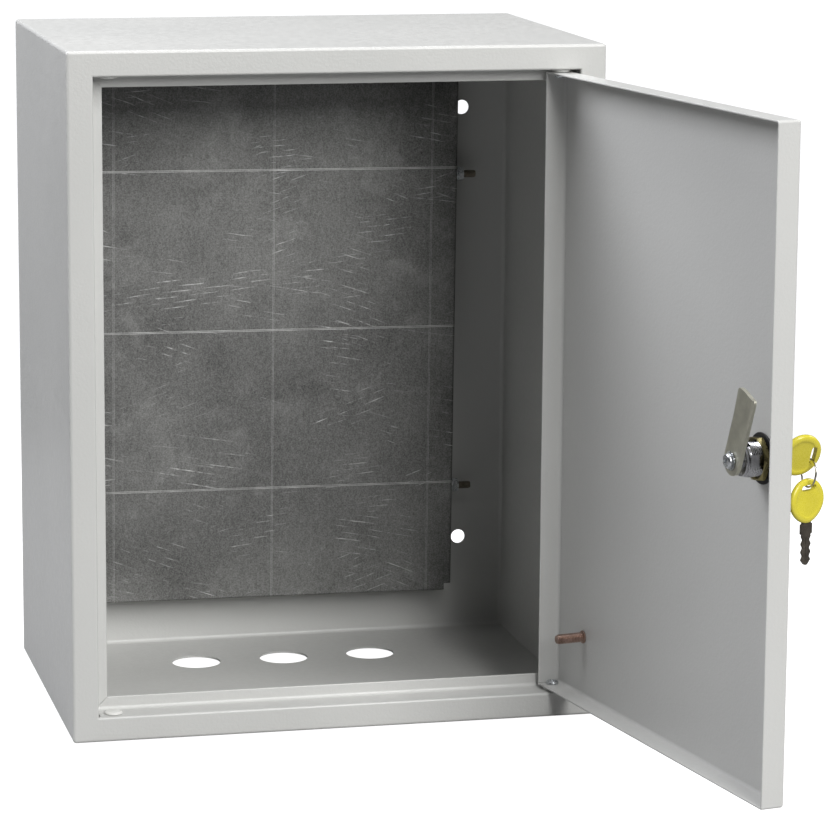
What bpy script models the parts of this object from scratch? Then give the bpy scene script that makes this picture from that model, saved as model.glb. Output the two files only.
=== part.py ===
"""Wall cabinet for a fire alarm control panel: a welded sheet steel casing with an open hinged door, a
mounting plate and a cam lock with two keys on a ring. Metres, +Z up, the front faces -Y, and the origin is
the centre of the underside. The door stands open at rest."""

import math

import bmesh
import bpy
from mathutils import Matrix, Vector

# ---- driving dimensions (metres) ----
CASE_WIDTH = 0.310
CASE_HEIGHT = 0.395
CASE_DEPTH = 0.220
SHEET = 0.0012
FRAME_SIDE = 0.0150
FRAME_END = 0.0145
RECESS_DEPTH = 0.0177
LIP_WIDTH = 0.0075
CASE_BEND = 0.0018
OPENING_BEND = 0.0015
LIP_BEND = 0.0020
BEND_STEPS = 3

CABLE_HOLE_RADIUS = 0.015
CABLE_HOLE_PITCH = 0.055
CABLE_HOLE_FROM_REAR = 0.056
WALL_HOLE_RADIUS = 0.0045
WALL_HOLE_X = 0.125
WALL_HOLE_HEIGHTS = (0.0605, 0.3365)

HINGE_X = 0.1305
HINGE_FROM_FRONT = 0.0085
HINGE_HOLE_RADIUS = 0.0041
DOOR_OPEN_ANGLE = math.radians(100.0)
DOOR_FACE_TO_AXIS = 0.0070
DOOR_EDGE_TO_AXIS = 0.0062
DOOR_WIDTH = 0.2750
DOOR_GAP = 0.0019
DOOR_DEPTH = 0.0136
DOOR_BEND = 0.0020

PLATE_WIDTH = 0.2328
PLATE_HEIGHT = 0.3410
PLATE_DEPTH = 0.0180
PLATE_FACE_FROM_REAR = 0.0220
PLATE_BEND = 0.0015
PLATE_CENTRE = (0.0003, 0.2020)
PLATE_TILT = math.radians(0.45)
PLATE_NOTCH = 0.0045
FIXING_HEIGHTS = (-0.1040, 0.0950)
FIXING_FROM_REAR = 0.0140

LOCK_FROM_HINGE_EDGE = 0.2445
LOCK_HEIGHT = 0.1980
LOCK_REST_ANGLE = math.radians(-22.0)
CAM_THICKNESS = 0.0022
CAM_LEVEL = 0.01765
CAM_LENGTH = 0.0408
CAM_HALF_WIDTH = 0.0080

STUD_FROM_HINGE_EDGE = 0.0350
STUD_HEIGHT = 0.0523
STUD_LENGTH = 0.0172
STUD_RADIUS = 0.0029

KEY_BOW_HALF_WIDTH = 0.0124
KEY_BOW_HALF_LENGTH = 0.0120
KEY_BOW_THICKNESS = 0.0036
KEY_SHOULDER_LENGTH = 0.0066
KEY_BLADE_LENGTH = 0.0157
KEY_SLOT_FROM_END = 0.0048
KEY_SLOT_HALF_WIDTH = 0.0015
KEY_WIRE_IN_SLOT = -0.0032
RING_RADIUS = 0.0074
RING_WIRE = 0.00055
RING_LEAN = math.radians(7.0)
SPARE_KEY_YAW = math.radians(18.0)

CLEARANCE = 0.0003
ROUND_STEPS = 32

FRONT_Y = -CASE_DEPTH / 2
REAR_Y = CASE_DEPTH / 2
MID_HEIGHT = CASE_HEIGHT / 2
HINGE_Y = FRONT_Y + HINGE_FROM_FRONT
LEDGE_LOW = FRAME_END
LEDGE_HIGH = CASE_HEIGHT - FRAME_END


# ---- materials ----
def make_material(name, colour, roughness, metallic):
    material = bpy.data.materials.new(name)
    material.use_nodes = True
    shader = material.node_tree.nodes["Principled BSDF"]
    shader.inputs["Base Color"].default_value = (*colour, 1.0)
    shader.inputs["Roughness"].default_value = roughness
    shader.inputs["Metallic"].default_value = metallic
    return material


# ---- mesh helpers ----
def empty_scene():
    for item in list(bpy.data.objects):
        bpy.data.objects.remove(item, do_unlink=True)


def add_empty(name, location, parent=None):
    empty = bpy.data.objects.new(name, None)
    empty.location = location
    empty.parent = parent
    bpy.context.scene.collection.objects.link(empty)
    return empty


def add_mesh(name, vertices, faces, material, parent=None, smooth_angle=35.0):
    mesh = bpy.data.meshes.new(name)
    mesh.from_pydata([tuple(v) for v in vertices], [], faces)
    builder = bmesh.new()
    builder.from_mesh(mesh)
    bmesh.ops.recalc_face_normals(builder, faces=builder.faces)
    builder.to_mesh(mesh)
    builder.free()
    mesh.shade_smooth()
    mesh.set_sharp_from_angle(angle=math.radians(smooth_angle))
    if material:
        mesh.materials.append(material)
    item = bpy.data.objects.new(name, mesh)
    item.parent = parent
    bpy.context.scene.collection.objects.link(item)
    return item


def loft(rings, cap_start=True, cap_end=True, closed=False):
    """Vertices and faces of a skin through rings that have the same number of points."""
    count = len(rings[0])
    vertices = [point for ring in rings for point in ring]
    faces = []
    for r in range(len(rings) if closed else len(rings) - 1):
        first = r * count
        second = ((r + 1) % len(rings)) * count
        for i in range(count):
            j = (i + 1) % count
            faces.append((first + i, first + j, second + j, second + i))
    if not closed and cap_start:
        faces.append(tuple(reversed(range(count))))
    if not closed and cap_end:
        faces.append(tuple(range((len(rings) - 1) * count, len(rings) * count)))
    return vertices, faces


def arc(centre, radius, start, end, steps=BEND_STEPS):
    """Points of an arc, given in degrees, both ends included."""
    points = []
    for i in range(steps + 1):
        angle = math.radians(start + (end - start) * i / steps)
        points.append((centre[0] + radius * math.cos(angle), centre[1] + radius * math.sin(angle)))
    return points


def rounded_rectangle(half_x, half_z, radius, steps=2):
    corners = ((1, 1, 0), (-1, 1, 90), (-1, -1, 180), (1, -1, 270))
    points = []
    for sign_x, sign_z, start in corners:
        centre = (sign_x * (half_x - radius), sign_z * (half_z - radius))
        points += arc(centre, radius, start, start + 90, steps)
    return points


def folded_tray(name, half_x, half_z, centre, profile, corner, material, parent=None):
    """A sheet tray: each profile point is a sideways inset from the outline and a Y position, from outside
    to inside. A third number is the inset of the ends when it differs from the sides."""
    rings = []
    for inset, y, *end_inset in profile:
        radius = max(corner - inset, 0.0002)
        outline = rounded_rectangle(half_x - inset, half_z - (end_inset[0] if end_inset else inset), radius)
        rings.append([(centre[0] + x, y, centre[1] + z) for x, z in outline])
    vertices, faces = loft(rings)
    return add_mesh(name, vertices, faces, material, parent)


def turned(profile, steps=ROUND_STEPS):
    """A solid of revolution about local Z. The profile is (radius, z), from the axis to the axis, or a
    closed loop clear of the axis."""
    on_axis = profile[0][0] == 0.0
    body = profile[1:-1] if on_axis else profile
    rings = []
    for radius, z in body:
        turn = 2 * math.pi / steps
        rings.append([(radius * math.cos(turn * i), radius * math.sin(turn * i), z)
                      for i in range(steps)])
    return loft(rings, closed=not on_axis)


def turn_to(axis):
    """Rotation that carries local +Z to the given direction."""
    return Vector((0, 0, 1)).rotation_difference(Vector(axis)).to_matrix().to_4x4()


def place(vertices, location, axis=(0, 0, 1), spin=0.0):
    matrix = Matrix.Translation(location) @ turn_to(axis) @ Matrix.Rotation(spin, 4, "Z")
    return [matrix @ Vector(v) for v in vertices]


def prism(outline, low, high):
    """An extruded outline in local XY between two levels along local Z."""
    return loft([[(x, y, low) for x, y in outline], [(x, y, high) for x, y in outline]])


def circle(radius, steps=ROUND_STEPS):
    return [(radius * math.cos(2 * math.pi * i / steps), radius * math.sin(2 * math.pi * i / steps))
            for i in range(steps)]


def boolean(item, name, vertices, faces, operation="DIFFERENCE"):
    """Add a Boolean that uses a hidden tool solid, given in the item's own coordinates."""
    tool = add_mesh(name, vertices, faces, None, item)
    tool.hide_render = True
    tool.display_type = "WIRE"
    modifier = item.modifiers.new(name, "BOOLEAN")
    modifier.object = tool
    modifier.operation = operation
    modifier.solver = "EXACT"


def box(low, high):
    outline = [(low[0], low[1]), (high[0], low[1]), (high[0], high[1]), (low[0], high[1])]
    return prism(outline, low[2], high[2])


def cut_box(item, name, low, high):
    boolean(item, name, *box(low, high))


def cut_round(item, name, location, axis, radius, half_length, steps=ROUND_STEPS):
    vertices, faces = prism(circle(radius, steps), -half_length, half_length)
    boolean(item, name, place(vertices, location, axis), faces)


def double_flat(radius, half_flat, steps=ROUND_STEPS):
    """A circle with two flats, on the local +X and -X sides."""
    return [(max(-half_flat, min(half_flat, x)), y) for x, y in circle(radius, steps)]


def cut_cross(item, name, location, axis, width, length, depth):
    """A cross recess for a screwdriver, sunk from the location against the axis."""
    for i in range(2):
        x, y = length / 2, width / 2
        arm = [(-x, -y), (x, -y), (x, y), (-x, y)]
        vertices, faces = prism(arm, -depth, depth)
        boolean(item, f"{name}_arm_{i}", place(vertices, location, axis, math.radians(45 + 90 * i)), faces)


# ---- fasteners ----
def pan_screw(name, head_base, axis, head_radius, head_height, shank_radius, shank_length, material,
              parent=None):
    """A pan head screw. The head stands on head_base along the axis, and the shank runs the other way."""
    crown = [(head_radius, 0.0), (head_radius, head_height * 0.45), (head_radius * 0.88, head_height * 0.80),
             (head_radius * 0.55, head_height)]
    shank = [(shank_radius * 0.8, -shank_length), (shank_radius, -shank_length + shank_radius * 0.3),
             (shank_radius, 0.0)]
    profile = [(0.0, -shank_length)] + shank + crown + [(0.0, head_height)]
    vertices, faces = turned(profile, 24)
    item = add_mesh(name, place(vertices, head_base, axis), faces, material, parent)
    top = Vector(head_base) + Vector(axis).normalized() * head_height
    cut_cross(item, name + "_recess", top, axis, head_radius * 0.26, head_radius * 1.15, head_height * 0.55)
    return item


def hexagon(across_flats):
    radius = across_flats / math.sqrt(3)
    corners = [math.radians(60 * i) for i in range(6)]
    return [(radius * math.cos(angle), radius * math.sin(angle)) for angle in corners]


def hex_nut(name, base, axis, across_flats, height, bore_radius, material, parent=None, spin=0.0):
    """A hexagon nut with chamfered corners, bored right through."""
    chamfer = (across_flats / math.sqrt(3) - across_flats / 2) * 0.6
    wide = hexagon(across_flats)
    narrow = hexagon(across_flats - chamfer)
    rings = [[(x, y, 0.0) for x, y in narrow], [(x, y, chamfer) for x, y in wide],
             [(x, y, height - chamfer) for x, y in wide], [(x, y, height) for x, y in narrow]]
    vertices, faces = loft(rings)
    item = add_mesh(name, place(vertices, base, axis, spin), faces, material, parent)
    middle = Vector(base) + Vector(axis).normalized() * height / 2
    cut_round(item, name + "_bore", middle, axis, bore_radius, height, 24)
    return item


def flat_washer(name, base, axis, outer, inner, height, material, parent=None, steps=ROUND_STEPS):
    vertices, faces = turned([(inner, 0.0), (outer, 0.0), (outer, height), (inner, height)], steps)
    return add_mesh(name, place(vertices, base, axis), faces, material, parent)


# ---- casing ----
def casing_profile():
    """Inset and Y of the sheet's skin, from the rear face round the front frame and back inside."""
    outer = CASE_BEND
    inner = CASE_BEND - SHEET
    lip_y = FRONT_Y + RECESS_DEPTH
    lip_end = FRAME_SIDE + LIP_WIDTH
    half = SHEET / 2
    points = arc((outer, REAR_Y - outer), outer, 90, 180)
    points += arc((outer, FRONT_Y + outer), outer, 180, 270)
    frame = arc((FRAME_SIDE - OPENING_BEND, FRONT_Y + OPENING_BEND), OPENING_BEND, 270, 360)
    frame += arc((FRAME_SIDE + LIP_BEND, lip_y - LIP_BEND), LIP_BEND, 180, 90)
    frame += arc((lip_end - half, lip_y + half), half, 270, 450, 4)
    frame += arc((FRAME_SIDE + LIP_BEND, lip_y - LIP_BEND), LIP_BEND + SHEET, 90, 180)
    frame += arc((FRAME_SIDE - OPENING_BEND, FRONT_Y + OPENING_BEND), OPENING_BEND - SHEET, 360, 270)
    points += [(inset, y, inset - FRAME_SIDE + FRAME_END) for inset, y in frame]
    points += arc((outer, FRONT_Y + outer), inner, 270, 180)
    points += arc((outer, REAR_Y - outer), inner, 180, 90)
    return points


def make_casing(paint):
    casing = folded_tray("casing", CASE_WIDTH / 2, MID_HEIGHT, (0.0, MID_HEIGHT), casing_profile(), 0.0020,
                         paint)
    for i in (-1, 0, 1):
        place_xyz = (i * CABLE_HOLE_PITCH, REAR_Y - CABLE_HOLE_FROM_REAR, 0.0)
        cut_round(casing, f"cable_hole_{i + 2}", place_xyz, (0, 0, 1), CABLE_HOLE_RADIUS, 0.004, 48)
    for side in (-1, 1):
        for n, height in enumerate(WALL_HOLE_HEIGHTS):
            name = f"wall_hole_{side + 2}_{n}"
            cut_round(casing, name, (side * WALL_HOLE_X, REAR_Y, height), (0, 1, 0), WALL_HOLE_RADIUS, 0.004)
        for n, ledge in enumerate((LEDGE_LOW, LEDGE_HIGH)):
            hole = (side * HINGE_X, HINGE_Y, ledge)
            cut_round(casing, f"hinge_hole_{side + 2}_{n}", hole, (0, 0, 1), HINGE_HOLE_RADIUS, 0.003, 24)
            cut_corner_relief(casing, f"corner_relief_{side + 2}_{n}", side, ledge)
    return casing


def cut_corner_relief(casing, name, side, ledge):
    """The slot left where two folded ledges meet at a corner of the opening."""
    outer_x = CASE_WIDTH / 2 - FRAME_SIDE + 0.0004
    inner_x = outer_x - 0.0016
    low = (min(side * inner_x, side * outer_x), FRONT_Y + 0.0022, ledge - 0.0022)
    high = (max(side * inner_x, side * outer_x), FRONT_Y + 0.0135, ledge + 0.0022)
    cut_box(casing, name, low, high)


# ---- hinges ----
def make_hinge(name, plastic, steel, up):
    """A pan screw, a flanged bush and a nut on the hinge axis. The screw's head is inside the door's flange,
    and up is +1 for the lower hinge, whose head points up, and -1 for the upper one."""
    ledge = LEDGE_LOW if up > 0 else LEDGE_HIGH
    axis = (0, 0, up)
    bush_flange = 0.0014
    neck_length = 0.0022
    bush_base = (HINGE_X, HINGE_Y, ledge + up * 0.0002)
    loop = [(0.0023, -neck_length), (0.0038, -neck_length), (0.0038, 0.0), (0.0053, 0.0),
            (0.0053, bush_flange * 0.8),
            (0.0050, bush_flange), (0.0023, bush_flange)]
    vertices, faces = turned(loop, 24)
    add_mesh(f"hinge_bush_{name}", place(vertices, bush_base, axis), faces, plastic)
    head_base = (HINGE_X, HINGE_Y, ledge + up * (DOOR_GAP + SHEET + 0.0002))
    pan_screw(f"hinge_screw_{name}", head_base, axis, 0.0036, 0.0019, 0.0020, 0.0105, steel)
    nut_base = (HINGE_X, HINGE_Y, ledge - up * (neck_length + 0.0001 + 0.0032))
    hex_nut(f"hinge_nut_{name}", nut_base, axis, 0.0070, 0.0030, 0.0023, steel)


def make_hinge_plug(name, plastic, up):
    """The domed cap that closes the unused hinge hole on the left side."""
    ledge = LEDGE_LOW if up > 0 else LEDGE_HIGH
    profile = [(0.0, -0.0040), (0.0030, -0.0040), (0.0037, -0.0032), (0.0037, 0.0), (0.0053, 0.0),
               (0.0052, 0.0007),
               (0.0044, 0.0012), (0.0028, 0.0014), (0.0, 0.0014)]
    vertices, faces = turned(profile, 28)
    location = (-HINGE_X, HINGE_Y, ledge + up * 0.0002)
    add_mesh(f"hinge_plug_{name}", place(vertices, location, (0, 0, up)), faces, plastic)


# ---- door, in its closed position about the hinge axis ----
def make_door(paint, door_axis):
    face = -DOOR_FACE_TO_AXIS
    rim = face + DOOR_DEPTH
    outer = DOOR_BEND
    inner = DOOR_BEND - SHEET
    points = arc((outer, face + outer), outer, 270, 180)
    points += [(0.0, rim - 0.0003), (0.0003, rim), (SHEET - 0.0003, rim), (SHEET, rim - 0.0003)]
    points += arc((outer, face + outer), inner, 180, 270)
    centre_x = DOOR_EDGE_TO_AXIS - DOOR_WIDTH / 2
    half_height = MID_HEIGHT - FRAME_END - DOOR_GAP
    centre = (centre_x, MID_HEIGHT)
    door = folded_tray("door_tray", DOOR_WIDTH / 2, half_height, centre, points, 0.0012, paint,
                       door_axis)
    for n, ledge in enumerate((LEDGE_LOW + DOOR_GAP, LEDGE_HIGH - DOOR_GAP)):
        cut_round(door, f"door_hinge_hole_{n}", (0.0, 0.0, ledge), (0, 0, 1), 0.0023, 0.003, 24)
    vertices, faces = prism(double_flat(0.0097, 0.0085, 48), -0.004, 0.004)
    lock_hole = (DOOR_EDGE_TO_AXIS - LOCK_FROM_HINGE_EDGE, face, LOCK_HEIGHT)
    boolean(door, "lock_hole", place(vertices, lock_hole, (0, 1, 0)), faces)
    return door


def make_earth_stud(copper, door_axis):
    """A threaded weld stud: a thin base flange and a shank with turned grooves."""
    pitch = 0.0010
    root = STUD_RADIUS - 0.0004
    profile = [(0.0, 0.0), (STUD_RADIUS + 0.0009, 0.0), (STUD_RADIUS + 0.0009, 0.0009), (root, 0.0010)]
    z = 0.0016
    while z < STUD_LENGTH - 2 * pitch:
        profile += [(root, z), (STUD_RADIUS, z + pitch * 0.4), (root, z + pitch * 0.8)]
        z += pitch
    profile += [(root * 0.9, STUD_LENGTH), (0.0, STUD_LENGTH)]
    vertices, faces = turned(profile, 16)
    base = (DOOR_EDGE_TO_AXIS - STUD_FROM_HINGE_EDGE, SHEET - DOOR_FACE_TO_AXIS + CLEARANCE / 2, STUD_HEIGHT)
    add_mesh("earth_stud", place(vertices, base, (0, 1, 0)), faces, copper, door_axis)


# ---- mounting plate and its fixings, about the plate's own centre ----
def make_plate(zinc, plate_axis):
    face = REAR_Y - PLATE_FACE_FROM_REAR
    rim = face + PLATE_DEPTH
    inner = PLATE_BEND - SHEET
    points = arc((PLATE_BEND, face + PLATE_BEND), PLATE_BEND, 270, 180)
    points += [(0.0, rim), (SHEET, rim)]
    points += arc((PLATE_BEND, face + PLATE_BEND), inner, 180, 270)
    half_x, half_z = PLATE_WIDTH / 2, PLATE_HEIGHT / 2
    plate = folded_tray("mounting_plate", half_x, half_z, (0.0, 0.0), points, 0.0002, zinc,
                        plate_axis)
    for side in (-1, 1):
        for end in (-1, 1):
            corner = (side * PLATE_WIDTH / 2, end * PLATE_HEIGHT / 2)
            low = (corner[0] - PLATE_NOTCH, face - 0.002, corner[1] - PLATE_NOTCH)
            high = (corner[0] + PLATE_NOTCH, rim + 0.002, corner[1] + PLATE_NOTCH)
            cut_box(plate, f"plate_notch_{side + 2}_{end + 2}", low, high)
        for n, height in enumerate(FIXING_HEIGHTS):
            hole = (side * PLATE_WIDTH / 2, REAR_Y - FIXING_FROM_REAR, height)
            cut_round(plate, f"plate_hole_{side + 2}_{n}", hole, (1, 0, 0), 0.0028, 0.003, 20)
    return plate


def make_fixing(name, side, centre_z, paint, zinc, plate_axis):
    """A welded angle bracket with the bolt, washer and nut that hold one corner of the plate to it."""
    thickness = 0.0015
    upright = PLATE_WIDTH / 2 - SHEET - CLEARANCE
    foot_y = REAR_Y - SHEET - CLEARANCE / 2
    top_y = REAR_Y - PLATE_FACE_FROM_REAR + SHEET + 0.0012
    outline = [(upright, top_y), (upright, foot_y), (upright - 0.0180, foot_y),
               (upright - 0.0180, foot_y - thickness),
               (upright - thickness, foot_y - thickness), (upright - thickness, top_y)]
    vertices, faces = prism([(side * x, y) for x, y in outline], centre_z - 0.012, centre_z + 0.012)
    bracket = add_mesh(f"plate_bracket_{name}", vertices, faces, paint, plate_axis)
    bolt_y = REAR_Y - FIXING_FROM_REAR
    axis = (side, 0, 0)
    cut_round(bracket, f"bracket_hole_{name}", (side * upright, bolt_y, centre_z), axis, 0.0028, 0.004, 20)

    head_x = upright - thickness - CLEARANCE
    shank_length = 0.0166
    head = (side * head_x, bolt_y, centre_z)
    pan_screw(f"plate_bolt_{name}", head, (-side, 0, 0), 0.0043, 0.0030, 0.0024, shank_length, zinc,
              plate_axis)
    washer_x = PLATE_WIDTH / 2 + CLEARANCE
    seat = (side * washer_x, bolt_y, centre_z)
    flat_washer(f"plate_washer_{name}", seat, axis, 0.0050, 0.0027, 0.0010, zinc,
                plate_axis, 24)
    nut_x = washer_x + 0.0010 + 0.0002
    seat = (side * nut_x, bolt_y, centre_z)
    hex_nut(f"plate_nut_{name}", seat, axis, 0.0080, 0.0038, 0.0027, zinc, plate_axis,
            math.radians(12))


# ---- lock, along the local Y of an empty on the lock's axis; local Y = 0 is the door's outer face ----
def make_lock_body(chrome, rubber, brass, door_axis):
    centre = (DOOR_EDGE_TO_AXIS - LOCK_FROM_HINGE_EDGE, -DOOR_FACE_TO_AXIS, LOCK_HEIGHT)
    inward = (0, 1, 0)
    bezel = -0.0021
    gap = CLEARANCE
    inner_end = 0.0135
    loop = [(0.0068, bezel), (0.0105, bezel), (0.0118, bezel + 0.0010), (0.0120, -gap), (0.0094, -gap),
            (0.0094, inner_end - 0.0006), (0.0089, inner_end), (0.0068, inner_end)]
    vertices, faces = turned(loop, 48)
    body = add_mesh("lock_body", place(vertices, centre, inward), faces, chrome, door_axis)
    for side in (-1, 1):
        low = (centre[0] + side * 0.0100 - 0.0018, centre[1] + 0.0, centre[2] - 0.011)
        high = (centre[0] + side * 0.0100 + 0.0018, centre[1] + inner_end + 0.001, centre[2] + 0.011)
        cut_box(body, f"lock_flat_{side + 2}", low, high)
    level = SHEET + 0.00025
    seal = (centre[0], centre[1] + level, centre[2])
    flat_washer("lock_washer", seal, inward, 0.0138, 0.0097, 0.0010, rubber, door_axis, 48)
    nut = (centre[0], centre[1] + level + 0.0013, centre[2])
    hex_nut("lock_nut", nut, inward, 0.0225, 0.0035, 0.0097, brass, door_axis, math.radians(8))


def make_lock_plug(chrome, lock_axis):
    """The turning cylinder: a keyway in front, a stop collar and a square neck behind."""
    profile = [(0.0, -0.0019), (0.0064, -0.0019), (0.0064, 0.0138), (0.0086, 0.0138), (0.0086, 0.0151),
               (0.0048, 0.0151), (0.0048, CAM_LEVEL - 0.0003), (0.0, CAM_LEVEL - 0.0003)]
    vertices, faces = turned(profile, 32)
    plug = add_mesh("lock_cylinder", place(vertices, (0, 0, 0), (0, 1, 0)), faces, chrome, lock_axis)
    neck = 0.0029
    neck_end = CAM_LEVEL + CAM_THICKNESS - 0.0002
    boolean(plug, "square_neck", *box((-neck, 0.0145, -neck), (neck, neck_end, neck)), "UNION")
    cut_box(plug, "keyway", (-0.0013, -0.0050, -0.0042), (0.0013, 0.0141, 0.0042))
    cut_round(plug, "screw_hole", (0, 0.0190, 0), (0, 1, 0), 0.0021, 0.0044, 20)
    return plug


def cam_section(w, half, fold_left, fold_right, rise, bevel):
    """One cross-section of the cam at the distance w from the lock's axis. The left side rises outside
    fold_left, and the right side is bevelled outside fold_right."""
    low = CAM_LEVEL
    high = CAM_LEVEL + CAM_THICKNESS
    return [(half, high - bevel, w), (fold_right, high, w), (-fold_left, high, w), (-half, high + rise, w),
            (-half, low + rise, w), (-fold_left, low, w), (fold_right, low, w), (half, low, w)]


def make_cam(steel, lock_axis):
    """A latch bar with a round foot, a raised corner on one side of its tip and a bevel along the other."""
    sections = []
    half = CAM_HALF_WIDTH
    for step in (78, 60, 40, 20, 0):
        angle = math.radians(step)
        width = half * math.cos(angle)
        sections.append(cam_section(-half * math.sin(angle), width, width * 0.9, width * 0.9, 0.0, 0.0))
    tip = CAM_LENGTH
    sections.append(cam_section(0.0245, half, half * 0.98, half * 0.82, 0.0, 0.0005))
    sections.append(cam_section(tip - 0.0030, half, half * 0.52, half * 0.80, 0.0007, 0.0007))
    sections.append(cam_section(tip - 0.0009, half * 0.95, half * 0.46, half * 0.74, 0.0008, 0.0007))
    sections.append(cam_section(tip, half * 0.84, half * 0.42, half * 0.66, 0.0008, 0.0007))
    vertices, faces = loft([[(-x, y, z) for x, y, z in section] for section in sections])
    cam = add_mesh("lock_cam", vertices, faces, steel, lock_axis, 12.0)
    hole = 0.0032
    cut_box(cam, "cam_hole", (-hole, CAM_LEVEL - 0.002, -hole), (hole, CAM_LEVEL + 0.006, hole))
    return cam


def make_cam_fasteners(zinc, lock_axis):
    level = CAM_LEVEL + CAM_THICKNESS + 0.0003
    teeth = 18
    outline = []
    for i in range(teeth):
        for part, radius in ((0.0, 0.0052), (0.45, 0.0052), (0.5, 0.0045), (0.95, 0.0045)):
            angle = 2 * math.pi * (i + part) / teeth
            outline.append((radius * math.cos(angle), radius * math.sin(angle)))
    vertices, faces = prism(outline, 0.0, 0.0006)
    washer = add_mesh("cam_washer", place(vertices, (0, level, 0), (0, 1, 0)), faces, zinc, lock_axis, 20.0)
    cut_round(washer, "cam_washer_hole", (0, level, 0), (0, 1, 0), 0.0022, 0.002, 20)
    pan_screw("cam_screw", (0, level + 0.0006 + 0.0002, 0), (0, 1, 0), 0.0041, 0.0022, 0.0018, 0.0060, zinc,
              lock_axis)


# ---- keys: local Y runs from the bow to the tip, local Z across the bow, local X through it ----
def key_bow(name, end_y, plastic, parent):
    """The oval grip. end_y is the end of the oval farthest from the blade."""
    centre_y = end_y + KEY_BOW_HALF_LENGTH
    steps = 40
    edge = 0.0009
    levels = ((-KEY_BOW_THICKNESS / 2, edge), (-KEY_BOW_THICKNESS / 2 + edge * 0.35, edge * 0.35),
              (-KEY_BOW_THICKNESS / 2 + edge, 0.0), (KEY_BOW_THICKNESS / 2 - edge, 0.0),
              (KEY_BOW_THICKNESS / 2 - edge * 0.35, edge * 0.35), (KEY_BOW_THICKNESS / 2, edge))
    rings = []
    for x, inset in levels:
        ring = []
        for i in range(steps):
            angle = 2 * math.pi * i / steps
            along = math.sin(angle)
            taper = 1.0 - 0.16 * max(0.0, along) ** 2
            width = (KEY_BOW_HALF_WIDTH * taper - inset) * math.cos(angle)
            ring.append((x, centre_y + (KEY_BOW_HALF_LENGTH - inset) * along, width))
        rings.append(ring)
    vertices, faces = loft(rings)
    bow = add_mesh(name, vertices, faces, plastic, parent)
    slot_y = end_y + KEY_SLOT_FROM_END
    outline = []
    for centre_x, start in ((0.0035, -90), (-0.0035, 90)):
        outline += arc((centre_x, slot_y), KEY_SLOT_HALF_WIDTH, start, start + 180, 6)
    vertices, faces = prism(outline, -0.004, 0.004)
    boolean(bow, name + "_slot", [(v[2], v[1], v[0]) for v in vertices], faces)
    blade_end = end_y + 2 * KEY_BOW_HALF_LENGTH
    low, high = (-0.0010, blade_end - 0.0062, -0.0036), (0.0010, blade_end + 0.002, 0.0036)
    cut_box(bow, name + "_pocket", low, high)
    return bow


def key_blade(name, bow_end_y, metal, parent):
    """The flat blade: a tang inside the bow, a shoulder and a blade with waves cut along both edges."""
    half = 0.0007
    shoulder = bow_end_y + CLEARANCE
    start = shoulder + KEY_SHOULDER_LENGTH
    tip = start + KEY_BLADE_LENGTH
    edge = [(shoulder - 0.0058, 0.0032), (shoulder, 0.0032), (shoulder + 0.0001, 0.0042),
            (start - 0.0012, 0.0042), (start - 0.0009, 0.0032), (start, 0.0031)]
    steps = 30
    for i in range(1, steps + 1):
        part = i / steps
        half_width = 0.0028 + 0.0005 * math.cos(part * 3.0 * 2 * math.pi)
        edge.append((start + part * (KEY_BLADE_LENGTH - 0.0026), half_width))
    edge += [(tip - 0.0012, 0.0020), (tip, 0.0005)]
    outline = [(y, z) for y, z in edge] + [(y, -z) for y, z in reversed(edge)]
    vertices, faces = prism(outline, -half, half)
    return add_mesh(name, [(v[2], v[0], v[1]) for v in vertices], faces, metal, parent, 20.0)


def make_ring(wire, parent, centre):
    """The wire ring, round the local Y direction."""
    rings = []
    steps = 40
    for i in range(steps):
        angle = 2 * math.pi * i / steps
        ring = []
        for x, y in circle(RING_WIRE, 8):
            radius = RING_RADIUS + x
            ring.append((centre[0] + radius * math.cos(angle), centre[1] + y,
                         centre[2] + radius * math.sin(angle)))
        rings.append(ring)
    vertices, faces = loft(rings, closed=True)
    add_mesh("key_ring", vertices, faces, wire, parent)


def make_keys(plastic, bronze, wire, door_axis, lock_axis):
    blade_start = -0.0021
    bow_end = blade_start - KEY_SHOULDER_LENGTH - CLEARANCE
    far_end = bow_end - 2 * KEY_BOW_HALF_LENGTH
    key_bow("key_bow_in_lock", far_end, plastic, lock_axis)
    key_blade("key_blade_in_lock", bow_end, bronze, lock_axis)

    slot_y = far_end + KEY_SLOT_FROM_END
    lean = Matrix.Rotation(LOCK_REST_ANGLE, 3, "Y")
    wire_top = lock_axis.location + lean @ Vector((0.0, slot_y, KEY_WIRE_IN_SLOT))
    ring_axis = add_empty("ring_axis", wire_top, door_axis)
    ring_axis.rotation_euler = (RING_LEAN, 0.0, 0.0)
    make_ring(wire, ring_axis, (0.0, 0.0, -RING_RADIUS))

    spare_axis = add_empty("spare_key_axis", (0.0, 0.0, -2 * RING_RADIUS), ring_axis)
    upright = Matrix.Rotation(-RING_LEAN, 3, "X")
    hanging = Matrix.Rotation(SPARE_KEY_YAW, 3, "Z") @ Matrix.Rotation(math.radians(-90), 3, "X")
    spare_axis.rotation_euler = (upright @ hanging).to_euler()
    wire_below_end = KEY_SLOT_FROM_END - KEY_SLOT_HALF_WIDTH + RING_WIRE + 2 * CLEARANCE
    key_bow("spare_key_bow", -wire_below_end, plastic, spare_axis)
    key_blade("spare_key_blade", -wire_below_end + 2 * KEY_BOW_HALF_LENGTH, bronze, spare_axis)


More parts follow.
